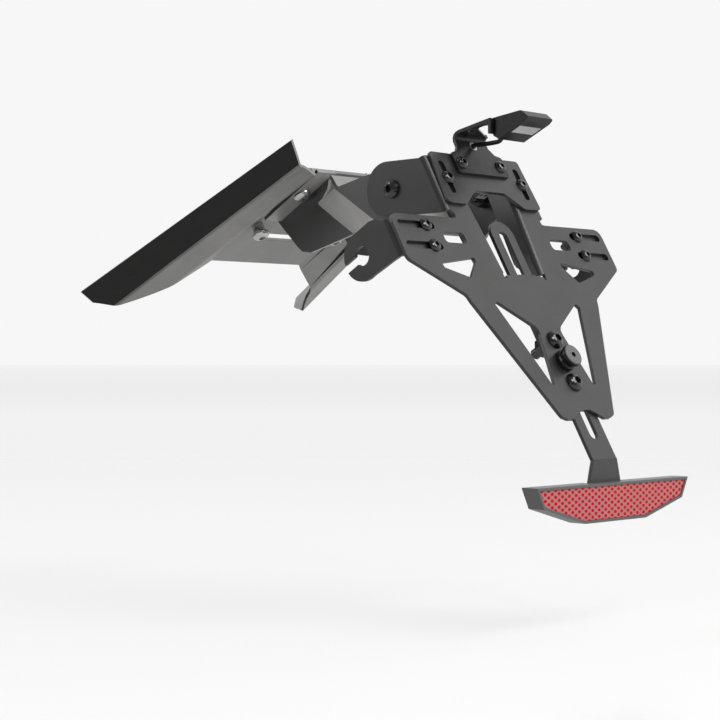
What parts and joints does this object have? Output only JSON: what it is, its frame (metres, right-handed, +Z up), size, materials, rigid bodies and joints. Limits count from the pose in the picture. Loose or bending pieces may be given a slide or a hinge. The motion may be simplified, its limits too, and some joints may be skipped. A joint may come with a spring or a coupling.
{
  "type": "tail tidy",
  "caption": "Folded sheet tail bracket: tray, forked arm and tilting number plate carrier with indicator brackets, plate lamp, rubber bumper and slotted reflector arm.",
  "frame": {"origin": "middle of the tray web's top face, between the four tail bolts", "axes": "+X to the bike's right, +Y forward along the bike, +Z up"},
  "size_m": [0.183, 0.3396, 0.2165],
  "materials": {
    "black_coat": "fine-textured satin black powder coat",
    "stainless": "bright stainless",
    "zinc": "zinc plated",
    "black_steel": "black oxide, slightly glossy",
    "rubber": "matt",
    "red_lens": "clear red, moulded prisms",
    "lamp_lens": "frosted clear",
    "board": "white solder mask",
    "black_plastic": "moulded, satin",
    "lead_jacket": "smooth black jacket"
  },
  "bodies": {
    "tail_mount": {"tail_tray": "black_coat", "arm": "black_coat", "tail_bolts_front": "stainless", "tail_bolts_rear": "stainless", "tail_sleeves_front": "stainless", "tail_spacers_rear": "black_plastic", "pivot_bolts": "black_steel", "pivot_washers": "black_steel", "pivot_nuts": "black_steel"},
    "carrier": {"main_plate": "black_coat", "cross_screws": "black_steel", "cross_nuts": "black_steel", "arm_screws": "black_steel", "arm_nuts": "black_steel", "bumper": "rubber", "bumper_screw": "black_steel", "bumper_washer": "black_steel"},
    "lamp_unit": {"cross_plate": "black_coat", "light_bracket": "black_coat", "light_screws": "black_steel", "light_nuts": "black_steel", "lamp_housing": "black_plastic", "lamp_board": "board", "lamp_lens": "lamp_lens", "lamp_screw": "black_steel", "upright_eyelet": "zinc", "lamp_lead": "lead_jacket", "lamp_plug": "black_plastic"},
    "indicator_left": {"ear_bracket_left": "black_coat", "ear_screws_left": "black_steel", "ear_nuts_left": "black_steel"},
    "indicator_right": {"ear_bracket_right": "black_coat", "ear_screws_right": "black_steel", "ear_nuts_right": "black_steel"},
    "reflector_unit": {"reflector_arm": "black_coat", "reflector_housing": "black_plastic", "reflector_lens": "red_lens", "reflector_stud": "zinc", "reflector_nut": "zinc"}
  },
  "joints": [
    {"name": "carrier_tilt", "type": "hinge", "parent": "tail_mount", "child": "carrier", "pos_m": [0, -0.1051, 0.0008], "axis": [1, 0, 0], "range_deg": [-10, 10]},
    {"name": "lamp_slide", "type": "slide", "parent": "carrier", "child": "lamp_unit", "axis": [0, 0.5, 0.866], "range_m": [-0.007, 0.007]},
    {"name": "reflector_slide", "type": "slide", "parent": "carrier", "child": "reflector_unit", "axis": [0, 0.5, 0.866], "range_m": [-0.06, 0.015]},
    {"name": "indicator_left_slide", "type": "slide", "parent": "carrier", "child": "indicator_left", "axis": [-1, 0, 0], "range_m": [-0.004, 0.018]},
    {"name": "indicator_right_slide", "type": "slide", "parent": "carrier", "child": "indicator_right", "axis": [1, 0, 0], "range_m": [-0.004, 0.018]}
  ]
}
